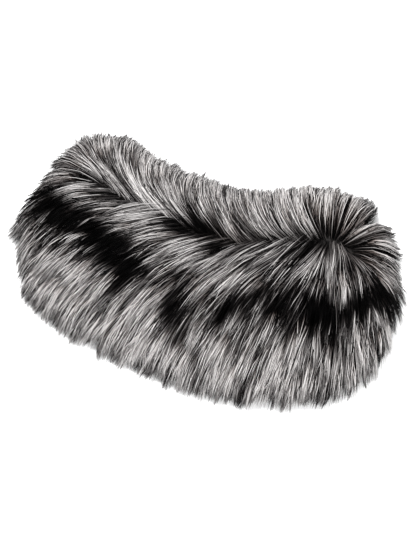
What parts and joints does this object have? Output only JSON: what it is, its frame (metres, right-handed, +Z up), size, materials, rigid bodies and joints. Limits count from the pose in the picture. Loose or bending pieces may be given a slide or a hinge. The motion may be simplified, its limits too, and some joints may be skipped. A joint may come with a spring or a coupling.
{
  "type": "fur collar wrap",
  "caption": "Long-haired fur collar wrap, laid flat with its fur side up: a curved strip with a parting seam along it.",
  "frame": {"origin": "on the surface that the collar lies on, under the middle of its box", "axes": "+X along the collar towards its gathered end, +Y towards the neck edge, +Z up out of the fur"},
  "size_m": [0.514, 0.334, 0.0699],
  "materials": {
    "leather": "dressed suede flesh side of the pelt, matt",
    "fur": "long silver-tipped guard hair over dark underfur, soft sheen"
  },
  "bodies": {
    "root": {"pelt_neck_panel": "leather", "pelt_outer_panel": "leather", "fur_neck_panel": "fur", "fur_outer_panel": "fur"}
  },
  "joints": []
}
